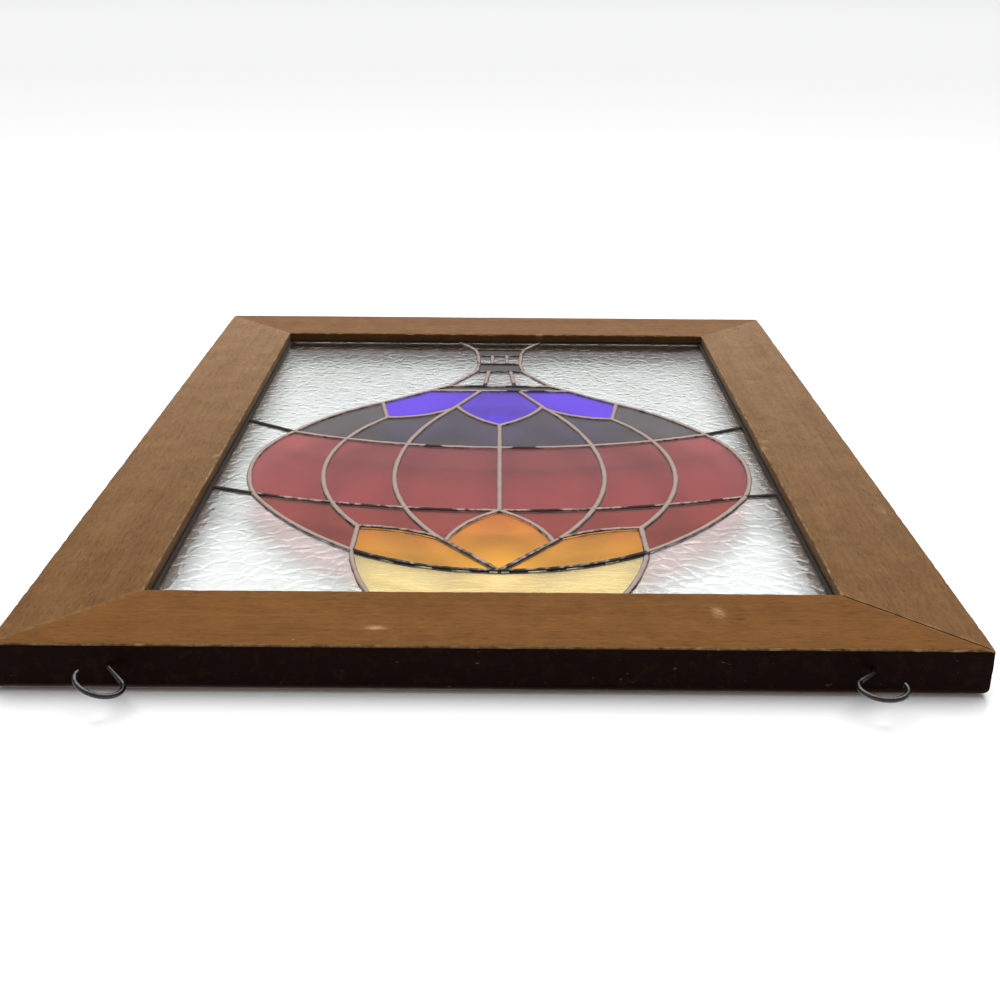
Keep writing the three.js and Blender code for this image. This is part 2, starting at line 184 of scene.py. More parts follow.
def make_piece(name, surfaces, material, attributes=None, sharp=40.0):
    """One mesh object from (corners, faces) pairs in metres, with outward faces, smooth but for
    edges sharper than the angle, and with float or vector attributes on its corners."""
    corners = np.concatenate([points for points, _ in surfaces])
    faces, start = [], 0
    for points, own in surfaces:
        faces += [[start + i for i in face] for face in own]
        start += len(points)
    mesh = bpy.data.meshes.new(name)
    mesh.from_pydata(corners.tolist(), [], faces)
    for key, values in (attributes or {}).items():
        values = np.asarray(values, np.float32)
        kind, field = ("FLOAT_VECTOR", "vector") if values.ndim == 2 else ("FLOAT", "value")
        mesh.attributes.new(key, kind, "POINT").data.foreach_set(field, values.ravel())
    shell = bmesh.new()
    shell.from_mesh(mesh)
    bmesh.ops.recalc_face_normals(shell, faces=shell.faces)
    shell.to_mesh(mesh)
    shell.free()
    mesh.polygons.foreach_set("use_smooth", np.ones(len(mesh.polygons), bool))
    mesh.set_sharp_from_angle(angle=math.radians(sharp))
    mesh.materials.append(material)
    mesh.update()
    piece = bpy.data.objects.new(name, mesh)
    bpy.context.scene.collection.objects.link(piece)
    return piece


# ---- Materials --------------------------------------------------------------------------------


class Bench:
    """Adds nodes to one node tree; an input is given a value or the socket that feeds it."""

    def __init__(self, tree):
        self.tree = tree

    def add(self, kind, inputs=None, **settings):
        made = self.tree.nodes.new(kind)
        for key, value in settings.items():
            setattr(made, key, value)
        for key, value in (inputs or {}).items():
            if isinstance(value, bpy.types.NodeSocket):
                self.tree.links.new(value, made.inputs[key])
            else:
                made.inputs[key].default_value = value
        return made

    def scaled(self, vector, factors):
        return self.add("ShaderNodeVectorMath", {0: vector, 1: factors},
                        operation="MULTIPLY").outputs[0]

    def noise(self, vector, scale, detail=3.0, roughness=0.5, distortion=0.0):
        return self.add("ShaderNodeTexNoise", {
            "Vector": vector, "Scale": scale, "Detail": detail, "Roughness": roughness,
            "Distortion": distortion}).outputs["Fac"]

    def scaled_noise(self, vector, scale, size):
        return self.math("MULTIPLY", self.math("SUBTRACT", self.noise(vector, scale), 0.5), size)

    def span(self, value, low, high, start=0.0, end=1.0):
        return self.add("ShaderNodeMapRange", {
            "Value": value, "From Min": low, "From Max": high, "To Min": start, "To Max": end,
        }).outputs["Result"]

    def math(self, operation, a, b):
        return self.add("ShaderNodeMath", {0: a, 1: b}, operation=operation).outputs[0]

    def blend(self, factor, a, b, mode="MIX"):
        return self.add("ShaderNodeMix", {0: factor, 6: a, 7: b}, data_type="RGBA",
                        blend_type=mode).outputs[2]

    def attribute(self, name, vector=False):
        made = self.add("ShaderNodeAttribute", attribute_name=name)
        return made.outputs["Vector" if vector else "Fac"]


def opaque(rgb):
    return (*rgb, 1.0)


def new_group(name, inputs, outputs):
    """Empty node group with these sockets, its input node and its output node."""
    group = bpy.data.node_groups.new(name, "ShaderNodeTree")
    kinds = {"value": "NodeSocketFloat", "vector": "NodeSocketVector", "colour": "NodeSocketColor"}
    for socket, (kind, default) in inputs.items():
        made = group.interface.new_socket(socket, in_out="INPUT", socket_type=kinds[kind])
        if default is not None:
            made.default_value = default
    for socket, kind in outputs.items():
        group.interface.new_socket(socket, in_out="OUTPUT", socket_type=kinds[kind])
    bench = Bench(group)
    return group, bench, bench.add("NodeGroupInput").outputs, bench.add("NodeGroupOutput").inputs


def grain_group():
    """Wood grain along X of the vector: fibres, broad bands, blotches and short pores."""
    group, bench, given, out = new_group(
        "Wood grain", {"Vector": ("vector", None), "Fineness": ("value", 1.0)},
        {"Shade": "value", "Pores": "value", "Height": "value"})
    place = bench.add("ShaderNodeVectorMath", {0: given["Vector"], "Scale": given["Fineness"]},
                      operation="SCALE").outputs[0]
    fibres = bench.noise(bench.scaled(place, (10, 260, 260)), 1.0, 7.0, 0.62, 0.3)
    bands = bench.noise(bench.scaled(place, (2.2, 34, 34)), 1.0, 3.0, 0.5, 0.6)
    blotches = bench.noise(place, 42.0, 5.0, 0.65)
    smudges = bench.noise(bench.scaled(place, (130, 420, 420)), 1.0, 5.0, 0.75)
    specks = bench.noise(bench.scaled(place, (120, 900, 900)), 1.0, 2.0, 0.5)
    pores = bench.span(specks, 0.60, 0.72)
    shade = bench.math("MULTIPLY", fibres, 0.22)
    for value, weight in ((bands, 0.14), (blotches, 0.28), (smudges, 0.36)):
        shade = bench.add("ShaderNodeMath", {0: value, 1: weight, 2: shade},
                          operation="MULTIPLY_ADD").outputs[0]
    height = bench.math("SUBTRACT", fibres, bench.math("MULTIPLY", pores, 0.5))
    for socket, value in (("Shade", bench.span(shade, 0.34, 0.66)), ("Pores", pores),
                          ("Height", height)):
        bench.tree.links.new(value, out[socket])
    return group


def dirt_group():
    """Uneven spots of dirt or tarnish where a level from 0 to 1 lets them through."""
    group, bench, given, out = new_group(
        "Spots of dirt", {"Vector": ("vector", None), "Scale": ("value", 300.0),
                          "Level": ("value", 0.3)}, {"Mask": "value", "Height": "value"})
    fine = bench.noise(given["Vector"], given["Scale"], 5.0, 0.65)
    level = bench.math("ADD", fine, bench.math("SUBTRACT", given["Level"], 0.5))
    bench.tree.links.new(bench.span(level, 0.42, 0.66), out["Mask"])
    bench.tree.links.new(fine, out["Height"])
    return group


def shared(name, make):
    return bpy.data.node_groups.get(name) or make()


def new_material(name):
    material = bpy.data.materials.new(name)
    material.use_nodes = True
    tree = material.node_tree
    tree.nodes.clear()
    bench = Bench(tree)
    shader = bench.add("ShaderNodeBsdfPrincipled")
    surface = bench.add("ShaderNodeOutputMaterial", {"Surface": shader.outputs[0]})
    return material, bench, shader, surface


def feed(bench, shader, **inputs):
    for key, value in inputs.items():
        bench.tree.links.new(value, shader.inputs[key.replace("_", " ")])


def group_node(bench, group, inputs):
    return bench.add("ShaderNodeGroup", inputs, node_tree=group).outputs


def wood_material(s):
    """Stained wood: two tones and a pale one blended in as painted sheen towards the foot, grain,
    dark stain with painted shade on the outer edges, painted shade on the inner faces, bare wood
    where arrises are worn, scuffs, and a dull finish."""
    material, bench, shader, _ = new_material("stained_wood")
    grain = group_node(bench, shared("Wood grain", grain_group),
                       {"Vector": bench.attribute("grain", vector=True), "Fineness": 1.0})
    tone = bench.blend(bench.attribute("tone"), opaque(s.golden), opaque(s.brown))
    # Painted sheen: the tone pales towards the foot of the stiles and on the bottom rail where the
    # attribute is high.
    tone = bench.blend(bench.attribute("fade"), tone, opaque(s.faded))
    deep = bench.blend(1.0, tone, (0.60, 0.54, 0.46, 1.0), "MULTIPLY")
    pale = bench.blend(1.0, tone, (1.28, 1.30, 1.34, 1.0), "MULTIPLY")
    body = bench.blend(grain["Shade"], deep, pale)
    body = bench.blend(bench.math("MULTIPLY", grain["Pores"], 0.45), body, opaque(s.dark))
    place = bench.attribute("grain", vector=True)
    patchy = bench.noise(place, 130.0, 5.0, 0.65)
    # Painted shade: this mask darkens the outer edges past their real stain and darkens the inner
    # faces where shade falls in the recess.
    stain_and_shade_mix = bench.math("MULTIPLY", bench.attribute("stain"), bench.span(patchy, 0.2, 0.5, 0.86, 1.0))
    body = bench.blend(stain_and_shade_mix, body, opaque(s.dark))
    rubbed = bench.math("MULTIPLY", bench.attribute("wear"), bench.span(patchy, 0.36, 0.66))
    body = bench.blend(rubbed, body, opaque(s.bare))
    scuffs = bench.noise(bench.scaled(place, (150, 420, 420)), 1.0, 3.0, 0.6)
    scuffs = bench.span(scuffs, 0.70, 0.78)
    body = bench.blend(bench.math("MULTIPLY", scuffs, 0.35), body, opaque(s.bare))
    height = bench.add("ShaderNodeBump", {"Strength": 0.55, "Distance": 0.00035,
                                          "Height": grain["Height"]})
    feed(bench, shader, Base_Color=body, Normal=height.outputs[0],
         Roughness=bench.span(grain["Shade"], 0.0, 1.0, 0.62, 0.46))
    shader.inputs["Specular IOR Level"].default_value = 0.05
    return material


def solder_material(s):
    """Dull solder with black tarnish that gathers where the line's own level is high; that level
    also holds painted shade on the flanks of each bead and along the border.
    """
    material, bench, shader, _ = new_material("soldered_lines")
    place = bench.add("ShaderNodeTexCoord").outputs["Object"]
    spots = group_node(bench, shared("Spots of dirt", dirt_group),
                       {"Vector": place, "Scale": 330.0, "Level": bench.attribute("tarnish")})
    tint = bench.noise(place, 60.0, 4.0, 0.6)
    body = bench.blend(tint, opaque(s.solder), (0.23, 0.185, 0.135, 1.0))
    body = bench.blend(spots["Mask"], body, opaque(s.tarnish))
    dents = bench.add("ShaderNodeBump", {"Strength": 0.7, "Distance": 0.0003,
                                         "Height": bench.noise(place, 420.0, 4.0, 0.6)})
    feed(bench, shader, Base_Color=body, Normal=dents.outputs[0],
         Roughness=bench.span(spots["Mask"], 0.0, 1.0, 0.45, 0.7),
         Metallic=bench.span(spots["Mask"], 0.0, 1.0, 0.2, 0.0))
    shader.inputs["Specular IOR Level"].default_value = 0.2
    return material


def steel_material(s):
    """Darkened steel with duller brown spots."""
    material, bench, shader, _ = new_material("hook_steel")
    place = bench.add("ShaderNodeTexCoord").outputs["Object"]
    spots = group_node(bench, shared("Spots of dirt", dirt_group),
                       {"Vector": place, "Scale": 700.0, "Level": 0.42})
    body = bench.blend(spots["Mask"], opaque(s.steel), (0.035, 0.024, 0.018, 1.0))
    dents = bench.add("ShaderNodeBump", {"Strength": 0.35, "Distance": 0.0002,
                                         "Height": spots["Height"]})
    feed(bench, shader, Base_Color=body, Normal=dents.outputs[0],
         Roughness=bench.span(spots["Mask"], 0.0, 1.0, 0.16, 0.5))
    shader.inputs["Metallic"].default_value = 0.9
    return material


def glass_material(name, rgb, relief, surface="smooth", ior=GLASS_IOR, crown_rgb_and_light=None):
    """Coloured glass that lets lamps through with a paler tint. Its faces are crackled, rippled or
    nearly smooth, its colour varies a little over the sheet, and it blends to the crown colour,
    where one is given, towards the top of the panel: partly the glass's own colour and partly
    painted light from the yellow crown."""
    material, bench, shader, out = new_material(name)
    place = bench.add("ShaderNodeTexCoord").outputs["Object"]
    cloud = bench.noise(place, 22.0, 3.0, 0.55)
    lighter = tuple(min(1.0, c * 1.06) for c in rgb)
    deeper = tuple(c * 0.93 for c in rgb)
    body = bench.blend(bench.span(cloud, 0.3, 0.7), opaque(deeper), opaque(lighter))
    # Painted light: the golden blend towards the crown is partly the glass's own colour and partly
    # the light passed on by the yellow crown.
    if crown_rgb_and_light:
        height = bench.add("ShaderNodeSeparateXYZ", {0: place}).outputs["Z"]
        nearness = bench.math("ADD", height, bench.scaled_noise(place, 30.0, 0.03))
        body = bench.blend(bench.span(nearness, *GOLDEN_HEIGHTS), body, opaque(crown_rgb_and_light))
    if surface == "crackle":
        drift = bench.add("ShaderNodeTexNoise", {"Vector": place, "Scale": 70.0, "Detail": 3.0})
        drift = bench.scaled(drift.outputs["Color"], (0.012, 0.012, 0.012))
        warped = bench.add("ShaderNodeVectorMath", {0: place, 1: drift},
                           operation="ADD").outputs[0]
        cells = bench.add("ShaderNodeTexVoronoi", {"Vector": warped, "Scale": 85.0},
                          feature="DISTANCE_TO_EDGE").outputs["Distance"]
        cells = bench.span(cells, 0.0, 0.22)
        height = bench.math("ADD", cells, bench.noise(place, 150.0, 5.0, 0.6))
    elif surface == "ripple":
        height = bench.noise(bench.scaled(place, (70, 70, 260)), 1.0, 4.0, 0.55, 0.8)
    else:
        height = bench.noise(place, 45.0, 2.0, 0.5)
    shape = bench.add("ShaderNodeBump", {"Strength": 1.0, "Distance": relief, "Height": height})
    feed(bench, shader, Base_Color=body, Normal=shape.outputs[0])
    shader.inputs["Roughness"].default_value = 0.05
    shader.inputs["IOR"].default_value = ior
    shader.inputs["Transmission Weight"].default_value = 1.0
    through = bench.add("ShaderNodeBsdfTransparent", {
        "Color": opaque([1 - (1 - c ** 0.5) * SHADOW_TINT for c in rgb])})
    mixed = bench.add("ShaderNodeMixShader", {
        0: bench.add("ShaderNodeLightPath").outputs["Is Shadow Ray"],
        1: shader.outputs[0], 2: through.outputs[0]})
    bench.tree.links.new(mixed.outputs[0], out.inputs["Surface"])
    return material


# ---- Rails and stiles -------------------------------------------------------------------------


def member_section(s):
    """Outline of a rail or stile, in mm, as rows of [distance from its outer edge, depth from
    the front, outer-edge share, inner-face share, arris share]: straight faces sampled evenly
    between quarter circles at the arrises, with the groove in the inner face."""
    width, arris, rounding = s.member_width / MM, s.arris / MM, s.back_rounding / MM
    quarter = np.linspace(0.0, math.pi / 2, 5)[1:-1]
    rows = []

    def face(start, end, step, outer, inner):
        count = max(2, int(math.hypot(end[0] - start[0], end[1] - start[1]) / step) + 1)
        for t in np.linspace(0.0, 1.0, count):
            rows.append((start[0] + (end[0] - start[0]) * t, start[1] + (end[1] - start[1]) * t,
                         outer, inner, 0.0))

    def corner(centre, radius, start, outer, inner, worn):
        for angle in quarter:
            rows.append((centre[0] + radius * math.cos(start + angle),
                         centre[1] + radius * math.sin(start + angle), outer, inner, worn))

    face((arris, 0.0), (width - arris, 0.0), 2.2, 0.0, 0.0)
    corner((width - arris, arris), arris, -math.pi / 2, 0.0, 0.3, 1.0)
    face((width, arris), (width, GROOVE_FRONT), 1.5, 0.0, 1.0)
    face((width - GROOVE_DEPTH, GROOVE_FRONT), (width - GROOVE_DEPTH, GROOVE_BACK), 6.0, 0.0, 1.0)
    face((width, GROOVE_BACK), (width, FRAME_DEPTH - arris), 3.0, 0.0, 1.0)
    corner((width - arris, FRAME_DEPTH - arris), arris, 0.0, 0.0, 0.6, 0.5)
    face((width - arris, FRAME_DEPTH), (rounding, FRAME_DEPTH), 5.0, 0.0, 0.25)
    corner((rounding, FRAME_DEPTH - rounding), rounding, math.pi / 2, 0.95, 0.0, 0.05)
    face((0.0, FRAME_DEPTH - rounding), (0.0, arris), 2.5, 1.0, 0.0)
    corner((arris, arris), arris, math.pi, 0.45, 0.0, 1.0)
    return np.array(rows)


def member_surface(s, span, seed, start_gap, end_gap, inner_painted_shade, dents):
    """A rail or stile along X, in mm, with its outer edge at z = 0 and its front at y = 0. The
    section is carried along the grain between two cuts at 45 degrees, so a point at a distance
    r from the outer edge runs from -span/2 + r + gap to span/2 - r - gap. Faces sink by lattice
    noise, arrises lose more where they are worn, and a dent is a bell-shaped hollow."""
    section = member_section(s)
    reach, depth = section[:, 0], section[:, 1]
    even = np.linspace(0.0, 1.0, int(span / 3.0))
    close = np.array([0.0006, 0.0014, 0.003])
    station = np.unique(np.concatenate([even, close, 1.0 - close]))[:, None]
    first = -span / 2 + reach + start_gap / 2
    last = span / 2 - reach - end_gap / 2
    along = first + (last - first) * station
    girth = np.concatenate([[0.0], np.cumsum(np.hypot(np.diff(reach), np.diff(depth)))])[None, :]
    reach, depth = np.broadcast_to(reach, along.shape), np.broadcast_to(depth, along.shape)

    hollow = 0.5 + 0.5 * lattice_noise(along / 34, girth / 9, seed)
    hollow = hollow * 0.6 + 0.4 * (0.5 + 0.5 * lattice_noise(along / 6, girth / 2.6, seed + 1))
    hollow = hollow * s.unevenness / MM
    worn = np.clip(lattice_noise(along / 5, girth / 3, seed + 2) - 0.15, 0.0, 1.0) ** 1.5
    chipped = np.clip(lattice_noise(along / 2.2, girth / 2, seed + 3) - 0.62, 0.0, 1.0) * 1.6
    loss = section[:, 4] * (0.75 * worn + chipped)
    rim = np.minimum(along - first, last - along)
    eased = 0.45 * np.exp(-((rim / 0.9) ** 2)) * (depth < GROOVE_FRONT)
    sink = np.zeros_like(along)
    bared = np.zeros_like(along)
    for at, side, deep, wide, tall in dents:
        shape = bump_at(along, at, wide) * bump_at(reach, side, tall) * (depth < 4.0)
        sink += deep * shape
        bared += shape

    middle_reach, middle_depth = s.member_width / MM / 2, FRAME_DEPTH / 2
    near_face = 1.6
    pull_reach = np.sign(middle_reach - reach) * (
        np.minimum(reach, s.member_width / MM - reach) < near_face)
    pull_depth = np.sign(middle_depth - depth) * (
        np.minimum(depth, FRAME_DEPTH - depth) < near_face)
    shown = (section[:, 2] + section[:, 3] + section[:, 4] + (section[:, 1] < 0.01)) > 0
    inside_groove = (reach < s.member_width / MM - 0.1) & (depth > GROOVE_FRONT - 0.1) & (
        depth < GROOVE_BACK + 0.1)
    amount = (hollow + loss) * shown * ~inside_groove
    new_reach = reach + pull_reach * amount
    new_depth = depth + pull_depth * (amount + sink) + eased * (depth < 2.0)
    edge_loss = section[:, 4] * sink * 0.8
    new_reach = new_reach + np.sign(middle_reach - reach) * edge_loss

    points = np.stack([along, new_depth, -new_reach], axis=-1)
    offset = np.array([seed * 0.37, seed * 0.11, 0.0])
    grain = np.stack([along, reach, depth], axis=-1) * MM + offset
    ones = np.ones_like(along)
    # Painted shade: 1 on the outer edge (dark stain with painted shade), and the inner-face weight
    # on the inner face (painted shade in the recess).
    stain = np.clip(section[:, 2] + inner_painted_shade * section[:, 3], 0, 1) * ones
    wear = np.clip(section[:, 4] * (0.35 + 1.2 * worn) + 1.5 * chipped * section[:, 4] + bared
                   + 0.35 * np.exp(-((rim / 1.4) ** 2)) * (depth < 1.0), 0, 1)
    return points, grain, stain, wear


# Drops below the origin, in mm, between which a member's painted sheen changes
SHEEN_DROPS = (90.0, 690.0)
MEMBERS = {
    # node: (span, turn in degrees, place, tone, seed, start gap, end gap, painted shade on the
    # inner face, painted sheen at the top and at the foot, dents). A dent is (place along the
    # member, distance from its outer edge, depth, width, height), in mm.
    "top_rail": (
        FRAME_WIDTH, 0, (0, TOP), 0.0, 3, "open", "tight", 0.5, (0.0, 0.0),
        [(60, 20, 0.25, 5, 1.5), (-120, 40, 0.2, 2, 6)]),
    "bottom_rail": (
        FRAME_WIDTH, 180, (0, TOP - FRAME_HEIGHT), 0.0, 7, "tight", "tight", 0.25, (0.38, 0.38),
        [(40, 62.5, 0.5, 2.5, 2.0)]),
    "left_stile": (
        FRAME_HEIGHT, -90, (-FRAME_WIDTH / 2, TOP - FRAME_HEIGHT / 2), 1.0, 11, "tight", "open",
        0.12, (0.0, 0.95),
        [(35, 62.5, 1.3, 2.2, 2.4), (21, 60, 0.7, 1.8, 3.0), (-128, 38, 0.4, 1.4, 5.0),
         (150, 9, 0.5, 9.0, 0.9)]),
    "right_stile": (
        FRAME_HEIGHT, 90, (FRAME_WIDTH / 2, TOP - FRAME_HEIGHT / 2), 0.9, 17, "tight", "tight",
        0.12, (0.0, 1.0), [(-60, 61, 0.5, 2.0, 2.0), (190, 45, 0.3, 2.0, 1.2)]),
}


class WINDOW_OT_members(Operator):
    """Make the four rails and stiles with worn edges and grain along each"""
    bl_idname = "window.members"
    bl_label = "Rails and stiles"

    def execute(self, context):
        s = context.scene.window_wood
        material = wood_material(s)
        gaps = {"tight": s.joint_gap / MM, "open": s.open_joint_gap / MM}
        for node, member in MEMBERS.items():
            span, turn, (x, z), tone, seed, start, end, inner, fade, dents = member
            points, grain, stain, wear = member_surface(
                s, span, seed, gaps[start], gaps[end], inner, dents)
            angle = math.radians(turn)
            across, up = points[..., 0], points[..., 2]
            placed = np.stack([
                x + across * math.cos(angle) + up * math.sin(angle),
                FRONT + points[..., 1],
                z - across * math.sin(angle) + up * math.cos(angle)], axis=-1)
            surface = tube(placed * MM)
            piece = make_piece(f"{node}_wood", [surface], material, {
                "grain": grain.reshape(-1, 3), "stain": stain.ravel(), "wear": wear.ravel(),
                "tone": np.full(stain.size, tone),
                "fade": np.interp(-placed[..., 2].ravel(), SHEEN_DROPS, fade)}, sharp=50.0)
            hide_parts(node)
            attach(piece, "root")
        return {"FINISHED"}


# ---- Soldered lines ---------------------------------------------------------------------------
# Seams are drawn in mm as [distance from the picture's axis, drop below the top of the frame]


def sag(radius, reach):
    """Fall of a circle's arc at a distance from its highest point."""
    return radius - np.sqrt(radius ** 2 - reach ** 2)


def gore(reach, level, above, below):
    """Half-width of an upright seam: widest at its level, an arc of its own above and below."""
    return lambda drop: reach - sag(np.where(drop < level, above, below), drop - level)


def belt(level, radius):
    """Level of a lying seam: highest on the axis, falling as one arc to both sides."""
    return lambda x: level + sag(radius, x)


def crossing(upright, lying):
    drop = lying(0.0)
    for _ in range(40):
        drop = lying(upright(drop))
    return float(upright(drop)), float(drop)


def arc(start, end, rise=0.0):
    """Points from start to end, lifted off the chord by 4 rise t (1 - t)."""
    start, end = np.asarray(start, float), np.asarray(end, float)
    chord = np.hypot(*(end - start))
    t = np.linspace(0.0, 1.0, max(2, int(chord / 1.5) + 1))[:, None]
    normal = np.array([end[1] - start[1], start[0] - end[0]]) / chord
    return start + (end - start) * t + normal * 4 * rise * t * (1 - t)


def upright_run(seam, start, end):
    drop = np.linspace(start, end, max(3, int(abs(end - start) / 1.5)))
    return np.stack([seam(drop), drop], axis=-1)


def lying_run(seam, start, end):
    x = np.linspace(start, end, max(3, int(abs(end - start) / 1.5)))
    return np.stack([x, seam(x)], axis=-1)


def between(a, b, t):
    return (a[0] + (b[0] - a[0]) * t, a[1] + (b[1] - a[1]) * t)


def joined(*runs):
    return np.concatenate([run if i == 0 else run[1:] for i, run in enumerate(runs)])


def level_line(reach, drop):
    return arc((-reach, drop), (reach, drop))


def on_seam(seam, drop):
    return float(seam(drop)), drop


# Upright seams: half-width where widest, that level, radius above it and below it
INNER_GORE, OUTER_GORE = (72.5, 272, 210, 285), (122, 280, 190, 180)
ENVELOPE = (173.5, 285, 171, 125)
# Lying seams: level on the axis and radius
CROWN_BELT, UPPER_BELT, LOWER_BELT = (108.5, 155), (199.5, 505), (319.2, 380)
CROWN_REACH, PETAL_TIP = 88.9, 370
MOUTH_REACH, MOUTH_TOP, MOUTH_FOOT = 42.5, 457.5, 470.5
# Half-width and level of the collar's top and foot and of the basket's top and foot
BASKET = ((20, 513), (18, 537), (19, 562), (22.5, 583))
# Left and right side: (mirror, reach of the crown at the border, levels of the two side ties)
SIDES = ((-1, 63, (231, 370)), (1, 67, (238.5, 379)))


def picture_seams():
    """Every seam of the picture as (points, tarnish level), with the right half mirrored."""
    inner, outer, envelope = gore(*INNER_GORE), gore(*OUTER_GORE), gore(*ENVELOPE)
    crown, upper, lower = belt(*CROWN_BELT), belt(*UPPER_BELT), belt(*LOWER_BELT)
    wide_upper, wide_lower = crossing(envelope, upper), crossing(envelope, lower)
    crown_top, crown_end = (0.0, CROWN_BELT[0]), (CROWN_REACH, float(crown(CROWN_REACH)))
    leaf_side, leaf_meet = on_seam(outer, 172.5), on_seam(inner, 156.6)
    leaf_corner = between(leaf_meet, crown_top, 0.13)
    petal_foot, petal_meet = on_seam(outer, 386.5), on_seam(inner, 410.5)
    petal_neck, petal_outer = (15.8, MOUTH_TOP), (93.5, 424.5)
    mouth_foot = (MOUTH_REACH, MOUTH_FOOT)
    petal_corner = between(petal_meet, petal_neck, 0.13)
    mouth_top = between(petal_outer, mouth_foot, 0.72)
    collar_top, collar_foot, basket_top, basket_foot = BASKET

    half = [
        (arc(crown_top, leaf_meet), 0.50),
        (upright_run(inner, leaf_meet[1], petal_meet[1]), 0.16),
        (arc(petal_meet, petal_neck), 0.18),
        (arc(crown_end, leaf_side), 0.20),
        (upright_run(outer, leaf_side[1], petal_foot[1]), 0.16),
        (arc(petal_foot, petal_outer), 0.14),
        (arc(wide_upper, crown_end, -6.3), 0.24),
        (joined(upright_run(envelope, wide_upper[1], wide_lower[1]),
                arc(wide_lower, petal_outer, 5.7)), 0.22),
        (arc(petal_outer, mouth_foot), 0.30),
        (arc(mouth_foot, collar_top), 0.34),
        (arc(collar_top, collar_foot), 0.40),
        (arc(collar_foot, basket_top), 0.40),
        (arc(basket_top, basket_foot, -0.6), 0.44),
        (arc(basket_foot, (37, BORDER_FOOT), -0.8), 0.36),
        (arc(leaf_side, leaf_meet, 3.8), 0.44),
        (arc(crossing(lambda drop: 0.0 * drop, upper), leaf_corner, -5.5), 0.28),
        (arc(petal_foot, petal_meet, -6.2), 0.10),
        (arc((0, PETAL_TIP), petal_corner, 4.5), 0.10),
        (arc((12.5, MOUTH_FOOT), (9.5, collar_top[1])), 0.36),
        (arc((6.5, collar_foot[1]), (6.5, basket_top[1])), 0.36),
    ]
    seams = []
    for flip, crown_reach, levels in SIDES:
        mirror = np.array([flip, 1.0])
        seams += [(points * mirror, level) for points, level in half]
        border = BORDER_X - flip * PICTURE_SHIFT
        seams += [(arc((crown_reach, BORDER_TOP), crown_end, 3.6) * mirror, 0.30),
                  (arc(wide_upper, (border, levels[0])) * mirror, 0.78),
                  (arc(wide_lower, (border, levels[1])) * mirror, 0.78)]
    seams += [
        (lying_run(crown, -crown_end[0], crown_end[0]), 0.62),
        (lying_run(upper, -wide_upper[0], wide_upper[0]), 0.46),
        (lying_run(lower, -wide_lower[0], wide_lower[0]), 0.22),
        (arc((0, UPPER_BELT[0]), (0, LOWER_BELT[0])), 0.06),
        (arc((0, LOWER_BELT[0]), (0, PETAL_TIP)), 0.12),
        (level_line(mouth_top[0], MOUTH_TOP), 0.24),
        (level_line(MOUTH_REACH, MOUTH_FOOT), 0.34),
    ]
    seams += [(level_line(*corner), 0.62) for corner in BASKET]
    return seams


# Black patches of tarnish: (distance from the axis, drop, half-length) in mm
PATCHES = [(19, 470.5, 8), (-14, 470.5, 8), (-11.5, 457.5, 6), (-31, 457.5, 7), (-18, 319.6, 9),
           (48, 322.2, 6), (-52, 330, 2.5), (119, 178, 6), (86, 206.6, 3), (-30, 200.4, 9),
           (-92, 208, 8), (40, 201, 8), (150, 222, 5), (-143, 220, 4), (-84, 134, 5),
           (84, 134.5, 4)]


